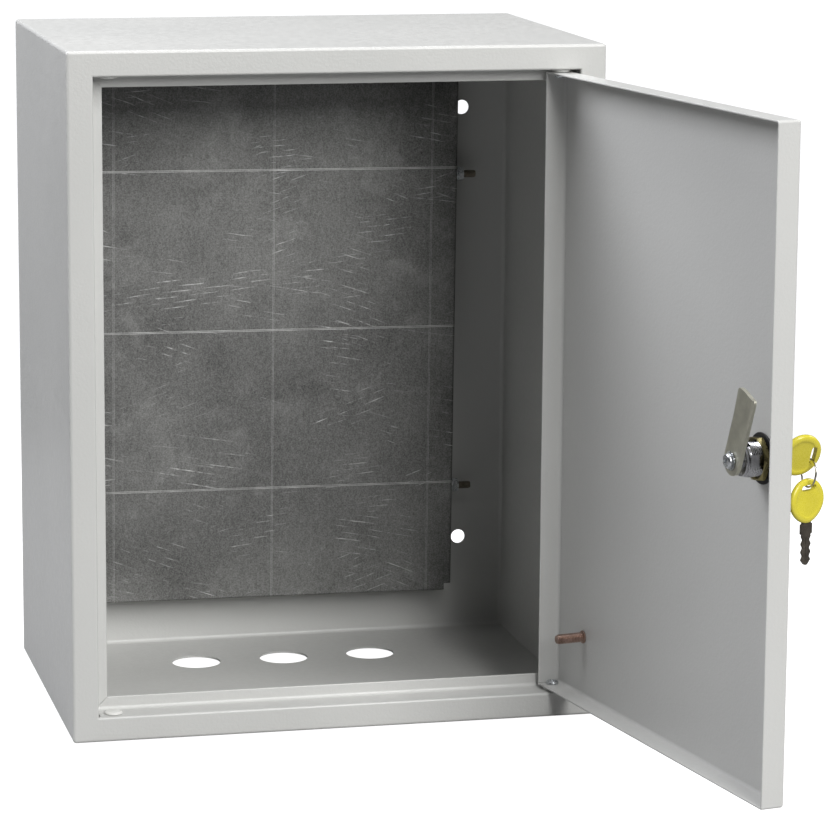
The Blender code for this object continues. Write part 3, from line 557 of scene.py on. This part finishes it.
def nut_shape(flats, height, bore, steps=72):
    """A hexagon nut with the real curved chamfers on both ends and a countersunk bore."""
    inner = flats * 0.478
    slope = math.tan(math.radians(30))
    rings = [[], [], [], []]
    for i in range(steps):
        angle = 2 * math.pi * i / steps
        reach = flats / 2 / math.cos((angle % (math.pi / 3)) - math.pi / 6)
        cos, sin = math.cos(angle), math.sin(angle)
        cut = (reach - inner) * slope
        rings[0].append((inner * cos, inner * sin, 0.0))
        rings[1].append((reach * cos, reach * sin, cut))
        rings[2].append((reach * cos, reach * sin, height - cut))
        rings[3].append((inner * cos, inner * sin, height))
    sink = bore * 0.10
    for r, z in ((bore + sink, height), (bore, height - sink), (bore, sink), (bore + sink, 0.0)):
        rings.append([(x, y, z) for x, y in circle(r, steps)])
    return loft(rings, closed=True)


def washer_shape(outer, inner, height, edge=0.00015):
    return turned([(inner, 0), (outer - edge, 0), (outer, edge), (outer, height - edge),
                   (outer - edge, height), (inner, height)], 64)


def cross_cutters(width, length, depth, top):
    """Two tapered arms of a cross recess that opens at the height top."""
    shapes = []
    for i in range(2):
        rings = []
        for w, l, z in ((width * 0.35, length * 0.55, top - depth), (width, length, top + 0.001)):
            corners = ((-l / 2, -w / 2), (l / 2, -w / 2), (l / 2, w / 2), (-l / 2, w / 2))
            rings.append([(x, y, z) for x, y in corners])
        shapes.append(moved(loft(rings), spin=math.radians(45 + 90 * i)))
    return shapes


def pan_screw(name, base, axis, size, spin=0.0):
    """A threaded pan-head screw with a cross recess. The base is under the head, which faces the axis way."""
    head_radius, head_height, shank, length, pitch = size
    crown = arc((head_radius - head_height * 0.62, head_height * 0.38), head_height * 0.62, 0, 78, 8)
    rings = threaded(shank, pitch, 0.0, length, steps=32)
    rings = [[(x, y, -z) for x, y, z in ring] for ring in reversed(rings)]
    rings += smooth_rings([(head_radius - 0.0002, 0.0), (head_radius, 0.0003)] + crown +
                          [(head_radius * 0.35, head_height)], 32)
    item = mesh_object(name, loft(rings))
    carve(item, cross_cutters(head_radius * 0.30, head_radius * 1.25, head_height * 0.62, head_height))
    turn = Vector((0, 0, 1)).rotation_difference(Vector(axis)).to_matrix().to_4x4()
    item.data.transform(Matrix.Translation(base) @ turn @ Matrix.Rotation(spin, 4, "Z"))
    return item


def make_hinges():
    for name, up, ledge in (("lower", 1, LEDGE_LOW), ("upper", -1, LEDGE_HIGH)):
        axis = (0, 0, up)
        base = (HINGE.x, HINGE.y, ledge + up * 0.0002)
        profile = [(0.0023, -0.0022), (0.0036, -0.0022), (0.0038, -0.0020), (0.0038, 0.0), (0.0053, 0.0)]
        profile += arc((0.0049, 0.0010), 0.0004, 0, 90, 4) + [(0.0023, 0.0014)]
        bush = mesh_object(f"bush_{name}", moved(turned(profile, 64), base, axis))
        piece(bush, WORLD, "cabinet", "white_plastic", WHITE, f"hinge_bush_{name}", angle=35)
        head = (HINGE.x, HINGE.y, ledge + up * (DOOR_GAP + SHEET + 0.0002))
        screw = pan_screw(f"pivot_screw_{name}", head, axis, PIVOT_SCREW, 0.3)
        piece(screw, WORLD, "cabinet", "zinc", ZINC, f"hinge_screw_{name}", angle=35)
        seat = (HINGE.x, HINGE.y, ledge - up * 0.0055)
        nut = mesh_object(f"pivot_nut_{name}", moved(nut_shape(*PIVOT_NUT), seat, axis))
        piece(nut, WORLD, "cabinet", "zinc", ZINC, f"hinge_nut_{name}", angle=28)
        plug = [(0.0, -0.0040), (0.0028, -0.0040), (0.0036, -0.0034), (0.0037, -0.0030), (0.0037, 0.0),
                (0.0052, 0.0), (0.0053, 0.0002), (0.0052, 0.0006), (0.0046, 0.0011), (0.0034, 0.00135),
                (0.0015, 0.0014), (0.0, 0.0014)]
        seat = (-HINGE.x, HINGE.y, ledge + up * 0.0002)
        cap = mesh_object(f"cap_{name}", moved(turned(plug, 64), seat, axis))
        piece(cap, WORLD, "cabinet", "white_plastic", WHITE, f"hinge_plug_{name}", angle=50)


def make_stud():
    radius, length = 0.0029, 0.0172
    flange = [(0.0036, 0.0), (0.0038, 0.0002), (0.0038, 0.0007), (0.0036, 0.0009), (0.0026, 0.0010)]
    rings = smooth_rings(flange, 32)
    rings += threaded(radius, 0.0010, 0.0013, length, steps=32)
    stud = mesh_object("weld_stud", moved(loft(rings), STUD + Vector((0, 0.00015, 0)), (0, 1, 0)))
    piece(stud, DOOR, "door", "copper", COPPER, "earth_stud", angle=60)


# ---- mounting plate ----


def make_plate():
    rim = PLATE_FACE + PLATE_DEPTH
    bend = 0.0015
    profile = arc((bend, PLATE_FACE + bend), bend, 270, 180, 8)
    profile += [(0.0, rim - 0.0002), (0.0002, rim), (SHEET - 0.0002, rim), (SHEET, rim - 0.0002)]
    profile += arc((bend, PLATE_FACE + bend), bend - SHEET, 180, 270, 5)
    plate = tray("equipment_plate", PLATE_WIDTH / 2, PLATE_HEIGHT / 2, (0.0, 0.0), profile, 0.0002, 2)
    cuts = []
    notch = 0.0045
    for side in (-1, 1):
        for end in (-1, 1):
            x, z = side * PLATE_WIDTH / 2, end * PLATE_HEIGHT / 2
            cuts.append(box((x - notch, PLATE_FACE - 0.002, z - notch), (x + notch, rim + 0.002, z + notch)))
        for z in FIXINGS:
            hole = prism(circle(FIXING_HOLE, 40), -0.003, 0.003)
            cuts.append(moved(hole, (side * PLATE_WIDTH / 2, FIXING_Y, z), (1, 0, 0)))
    carve(plate, cuts)
    piece(plate, PLATE, "cabinet", "zinc", ZINC_SHEET, "mounting_plate", angle=32)


def make_fixings():
    bracket_sheet = 0.0015
    head_x = PLATE_WIDTH / 2 - SHEET - GAP - bracket_sheet - GAP
    washer_x = PLATE_WIDTH / 2 + GAP
    for side, side_name in ((-1, "left"), (1, "right")):
        for z, end_name in zip(FIXINGS, ("lower", "upper")):
            name = f"{end_name}_{side_name}"
            axis = (side, 0, 0)
            seat = (side * head_x, FIXING_Y, z)
            bolt = pan_screw(f"fixing_screw_{name}", seat, (-side, 0, 0), FIXING_SCREW)
            piece(bolt, PLATE, "cabinet", "zinc", BOLT, f"plate_bolt_{name}", angle=50)
            seat = (side * washer_x, FIXING_Y, z)
            washer = mesh_object(f"fixing_washer_{name}", moved(washer_shape(*FIXING_WASHER), seat, axis))
            piece(washer, PLATE, "cabinet", "zinc", ZINC, f"plate_washer_{name}", angle=30)
            seat = (side * (washer_x + 0.0012), FIXING_Y, z)
            nut = mesh_object(f"fixing_nut_{name}", moved(nut_shape(*FIXING_NUT), seat, axis, 0.2))
            piece(nut, PLATE, "cabinet", "zinc", ZINC, f"plate_nut_{name}", angle=28)
            bracket = NODES[f"plate_bracket_{name}"]
            bracket.data.materials.clear()
            bracket.data.materials.append(PAINT)


# ---- lock ----


def make_lock():
    inward = (0, 1, 0)
    end = BARREL_END
    steps = 64
    bezel = [(0.0068, BARREL_FRONT + 0.0002), (0.0070, BARREL_FRONT), (0.0104, BARREL_FRONT),
             (0.0115, -0.0017), (0.0120, -0.0010), (0.0120, -GAP), (BARREL_RADIUS, -GAP)]
    rings = smooth_rings(bezel, steps)
    rings += threaded(BARREL_RADIUS, 0.0010, -0.0002, end - 0.0010, 0.00045, steps, flat=0.0082)
    rings += smooth_rings([(0.0088, end - 0.0003), (0.0085, end), (0.0068, end)], steps)
    body = mesh_object("lock_barrel", moved(loft(rings, closed=True), LOCK, inward))
    carve(body, [box((LOCK.x - 0.012, LOCK.y + end - 0.0034, LOCK.z - 0.0095),
                     (LOCK.x - 0.0066, LOCK.y + end + 0.001, LOCK.z - 0.0065)),
                 box((LOCK.x - 0.0046, LOCK.y + end - 0.0026, LOCK.z + 0.0064),
                     (LOCK.x + 0.0046, LOCK.y + end + 0.001, LOCK.z + 0.0100))])
    piece(body, DOOR, "door", "chrome", CHROME, "lock_body", angle=32)
    level = DOOR_FACE + SHEET + 0.00025
    seal_shape = washer_shape(*LOCK_SEAL, edge=0.0003)
    seal = mesh_object("lock_seal", moved(seal_shape, (LOCK.x, level, LOCK.z), inward))
    piece(seal, DOOR, "door", "black_rubber", RUBBER, "lock_washer", angle=40)
    seat = (LOCK.x, level + 0.0013, LOCK.z)
    nut_spin = math.radians(8)
    nut = mesh_object("barrel_nut", moved(nut_shape(*BARREL_NUT, steps=120), seat, inward, nut_spin))
    piece(nut, DOOR, "door", "yellow_zinc", YELLOW_ZINC, "lock_nut", angle=28)

    top = CAM_LEVEL - GAP
    profile = [(0.0, -0.0019), (0.0061, -0.0019), (0.0064, -0.0016), (0.0064, 0.0138), (0.0086, 0.0138),
               (0.0086, 0.0149), (0.0084, 0.0151), (0.0048, 0.0151), (0.0048, top), (0.0, top)]
    plug = mesh_object("lock_plug_turned", moved(turned(profile, 64), (0, 0, 0), inward))
    neck = 0.0029
    carve(plug, [box((-neck, 0.0145, -neck), (neck, CAM_LEVEL + CAM_THICKNESS - 0.0002, neck))], "UNION")
    carve(plug, [box((-0.0013, -0.0050, -0.0042), (0.0013, 0.0141, 0.0042)),
                 moved(prism(circle(0.0021, 32), -0.0044, 0.0044), (0, 0.0190, 0), (0, 1, 0))])
    piece(plug, LOCK_AXIS, "lock_plug", "chrome", CHROME, "lock_cylinder", angle=32)


def make_cam():
    def section(w, half, left, right, rise, bevel):
        low, high = CAM_LEVEL, CAM_LEVEL + CAM_THICKNESS
        return [(half, high - bevel, w), (right, high, w), (-left, high, w), (-half, high + rise, w),
                (-half, low + rise, w), (-left, low, w), (right, low, w), (half, low, w)]

    half, tip = CAM_HALF, CAM_LENGTH
    sections = []
    for step in range(80, -1, -10):
        angle = math.radians(step)
        width = half * math.cos(angle)
        sections.append(section(-half * math.sin(angle), width, width * 0.9, width * 0.9, 0.0, 0.0))
    sections.append(section(0.0245, half, half * 0.98, half * 0.84, 0.0, 0.0004))
    sections.append(section(tip - 0.0030, half, half * 0.52, half * 0.82, 0.0007, 0.0006))
    for back, wide in ((0.0016, 0.99), (0.0008, 0.95), (0.0003, 0.90), (0.0, 0.84)):
        sections.append(section(tip - back, half * wide, half * 0.44, half * 0.70, 0.0008, 0.0007))
    shape = loft([[(-x, y, z) for x, y, z in one] for one in sections])
    cam = mesh_object("latch_cam", shape)
    carve(cam, [box((-0.0032, CAM_LEVEL - 0.002, -0.0032), (0.0032, CAM_LEVEL + 0.006, 0.0032))])
    piece(cam, LOCK_AXIS, "lock_plug", "nickel", NICKEL, "lock_cam", bevel=0.00028, angle=14, segments=3)

    level = CAM_LEVEL + CAM_THICKNESS + GAP
    outline = []
    teeth = 18
    for i in range(teeth):
        for part, radius in ((0.0, 0.0052), (0.45, 0.0052), (0.5, 0.0045), (0.95, 0.0045)):
            angle = 2 * math.pi * (i + part) / teeth
            outline.append((radius * math.cos(angle), radius * math.sin(angle)))
    washer = mesh_object("tooth_washer", moved(prism(outline, 0.0, 0.0006), (0, level, 0), (0, 1, 0)))
    carve(washer, [moved(prism(circle(0.0022, 32), -0.002, 0.002), (0, level, 0), (0, 1, 0))])
    piece(washer, LOCK_AXIS, "lock_plug", "zinc", ZINC, "cam_washer", bevel=0.00008, angle=30, segments=1)
    seat = (0, level + 0.0008, 0)
    screw = pan_screw("latch_screw", seat, (0, 1, 0), CAM_SCREW, 0.4)
    piece(screw, LOCK_AXIS, "lock_plug", "zinc", ZINC, "cam_screw", angle=40)


# ---- keys ----


def bow_ring(x, inset, centre_y, steps=72):
    ring = []
    for i in range(steps):
        angle = 2 * math.pi * i / steps
        along = math.sin(angle)
        taper = 1.0 - 0.16 * max(0.0, along) ** 2
        ring.append((x, centre_y + (BOW_HALF_LENGTH - inset) * along,
                     (BOW_HALF_WIDTH * taper - inset) * math.cos(angle)))
    return ring


def make_bow(name, end_y, matrix, body, node):
    """The moulded grip: a pillowed edge, a raised rim round a shallow oval on each face, and the slot."""
    centre_y = end_y + BOW_HALF_LENGTH
    half = BOW_THICKNESS / 2
    side = [(half - 0.00030, 0.0052), (half - 0.00030, 0.0036), (half - 0.00022, 0.0033),
            (half - 0.00004, 0.0030), (half, 0.0024), (half - 0.00006, 0.0016), (half - 0.00030, 0.0008),
            (half - 0.0007, 0.00025), (half - 0.0011, 0.0)]
    levels = [(-x, inset) for x, inset in side] + [(x, inset) for x, inset in reversed(side)]
    bow = mesh_object(name, loft([bow_ring(x, inset, centre_y) for x, inset in levels]))
    slot_y = end_y + SLOT_FROM_END
    outline = []
    for centre_x, start in ((SLOT_ENDS, -90), (-SLOT_ENDS, 90)):
        outline += arc((centre_x, slot_y), SLOT_HALF, start, start + 180, 12)
    vertices, faces = prism(outline, -0.004, 0.004)
    blade_end = end_y + 2 * BOW_HALF_LENGTH
    carve(bow, [([(v[2], v[1], v[0]) for v in vertices], faces),
                box((-0.0010, blade_end - 0.0062, -0.0036), (0.0010, blade_end + 0.002, 0.0036))])
    piece(bow, matrix, body, "yellow_plastic", YELLOW, node, bevel=0.00025, angle=48, segments=3)


def make_blade(name, bow_end_y, matrix, body, node):
    """The blade, with a milled groove along each face and waves along both edges."""
    half = 0.0007
    shoulder = bow_end_y + GAP
    start = shoulder + SHOULDER
    tip = start + BLADE
    edge = [(shoulder - 0.0058, 0.0032), (shoulder, 0.0032), (shoulder + 0.0001, 0.0042),
            (start - 0.0012, 0.0042), (start - 0.0009, 0.0032), (start, 0.0031)]
    waves, steps = 3.0, 60
    for i in range(1, steps + 1):
        part = i / steps
        half_width = 0.0028 + 0.0005 * math.cos(part * waves * 2 * math.pi)
        edge.append((start + part * (BLADE - 0.0026), half_width))
    edge += [(tip - 0.0012, 0.0020), (tip - 0.0004, 0.0013), (tip, 0.0005)]
    outline = edge + [(y, -z) for y, z in reversed(edge)]
    vertices, faces = prism(outline, -half, half)
    blade = mesh_object(name, ([(v[2], v[0], v[1]) for v in vertices], faces))
    carve(blade, [box((0.00052, start + 0.001, -0.0012), (0.002, tip + 0.001, -0.0005)),
                  box((-0.002, start + 0.001, 0.0005), (-0.00052, tip + 0.001, 0.0012))])
    piece(blade, matrix, body, "bronze", BRONZE, node, bevel=0.0001, angle=40, segments=1)


def make_keys():
    bow_end = BARREL_FRONT - SHOULDER - GAP
    far_end = bow_end - 2 * BOW_HALF_LENGTH
    make_bow("key_grip", far_end, LOCK_AXIS, "key", "key_bow_in_lock")
    make_blade("key_shank", bow_end, LOCK_AXIS, "key", "key_blade_in_lock")
    contact = Matrix.Rotation(LOCK_LEAN, 4, "Y") @ Vector((0.0, far_end + SLOT_FROM_END, WIRE_IN_SLOT))
    ring_axis = DOOR @ Matrix.Translation(LOCK + contact) @ Matrix.Rotation(RING_LEAN, 4, "X")
    rings = []
    around = 96
    for i in range(around):
        angle = 2 * math.pi * i / around
        ring = []
        for x, y in circle(RING_WIRE, 14):
            r = RING_RADIUS + x
            ring.append((r * math.cos(angle), y, r * math.sin(angle) - RING_RADIUS))
        rings.append(ring)
    ring = mesh_object("wire_ring", loft(rings, closed=True))
    piece(ring, ring_axis, "key_ring", "ring_wire", WIRE, "key_ring", angle=80)
    hang = Matrix.Rotation(-RING_LEAN, 4, "X") @ Matrix.Rotation(SPARE_YAW, 4, "Z")
    down = Matrix.Rotation(math.radians(-90), 4, "X")
    spare = ring_axis @ Matrix.Translation((0, 0, -2 * RING_RADIUS)) @ hang @ down
    below = SLOT_FROM_END - SLOT_HALF + RING_WIRE + 2 * GAP
    make_bow("spare_grip", -below, spare, "spare_key", "spare_key_bow")
    make_blade("spare_shank", -below + 2 * BOW_HALF_LENGTH, spare, "spare_key", "spare_key_blade")


# ---- studio ----


def make_studio():
    s = Shader("studio_paper", 0.9, 0.0)
    tone = s.mix(s.noise(3.0, 2.0), (FLOOR_TONE,) * 3, (FLOOR_TONE + 0.02,) * 3)
    s.link(tone, s.main.inputs["Base Color"])
    s.main.inputs["Emission Color"].default_value = (1, 1, 1, 1)
    seen = s.tree.nodes.new("ShaderNodeLightPath").outputs["Is Camera Ray"]
    s.link(seen, s.main.inputs["Emission Strength"])
    rim = [(x, y + STUDIO_Y, FLOOR_LEVEL) for x, y in circle(FLOOR_REACH, 96)]
    floor = mesh_object("studio_floor", (rim, [tuple(range(len(rim)))]))
    floor.data.materials.append(s.material)

    world = bpy.data.worlds.new("studio_air")
    bpy.context.scene.world = world
    world.use_nodes = True
    tree = world.node_tree
    background = tree.nodes["Background"]
    background.inputs["Color"].default_value = (0.98, 0.985, 1.0, 1.0)
    seen = tree.nodes.new("ShaderNodeLightPath").outputs["Is Camera Ray"]
    strength = tree.nodes.new("ShaderNodeMapRange")
    strength.inputs["To Min"].default_value = AIR_LIGHT
    strength.inputs["To Max"].default_value = AIR_SEEN
    tree.links.new(seen, strength.inputs["Value"])
    tree.links.new(strength.outputs["Result"], background.inputs["Strength"])

    def area(name, azimuth, elevation, distance, size, power, colour):
        light = bpy.data.lights.new(name, "AREA")
        light.shape = "RECTANGLE"
        light.size, light.size_y = size
        light.energy = power
        light.color = colour
        item = bpy.data.objects.new(name, light)
        bpy.context.scene.collection.objects.link(item)
        turn, lift = math.radians(azimuth), math.radians(elevation)
        away = Vector((math.sin(turn) * math.cos(lift), -math.cos(turn) * math.cos(lift), math.sin(lift)))
        item.location = Vector(LIGHT_TARGET) + away * distance
        item.rotation_euler = (-away).to_track_quat("-Z", "Y").to_euler()

    for light in LIGHTS:
        area(*light)


def make_camera():
    """The camera fitted to the cabinet's corners: focal length and width in pixels, and metres."""
    focal, width, sensor = 3690.64, 835.0, 36.0
    eye = Vector((-0.43751, -2.13316, 0.58136))
    yaw, pitch, roll = math.radians(13.43), math.radians(10.80), math.radians(0.40)
    forward = Vector((math.sin(yaw) * math.cos(pitch), math.cos(yaw) * math.cos(pitch), -math.sin(pitch)))
    right = Vector((math.cos(yaw), -math.sin(yaw), 0.0))
    up = right.cross(forward)
    right, up = (math.cos(roll) * right + math.sin(roll) * up,
                 -math.sin(roll) * right + math.cos(roll) * up)
    data = bpy.data.cameras.new("view")
    data.lens = focal * sensor / width
    data.sensor_width = sensor
    data.clip_start = 0.05
    data.clip_end = 60.0
    camera = bpy.data.objects.new("view", data)
    bpy.context.scene.collection.objects.link(camera)
    matrix = Matrix((right, up, -forward)).transposed().to_4x4()
    matrix.translation = eye
    camera.matrix_world = matrix
    bpy.context.scene.camera = camera
    bpy.context.scene.view_settings.view_transform = "Standard"


make_casing()
make_door()
make_hinges()
make_stud()
make_plate()
make_fixings()
make_lock()
make_cam()
make_keys()
make_studio()
make_camera()
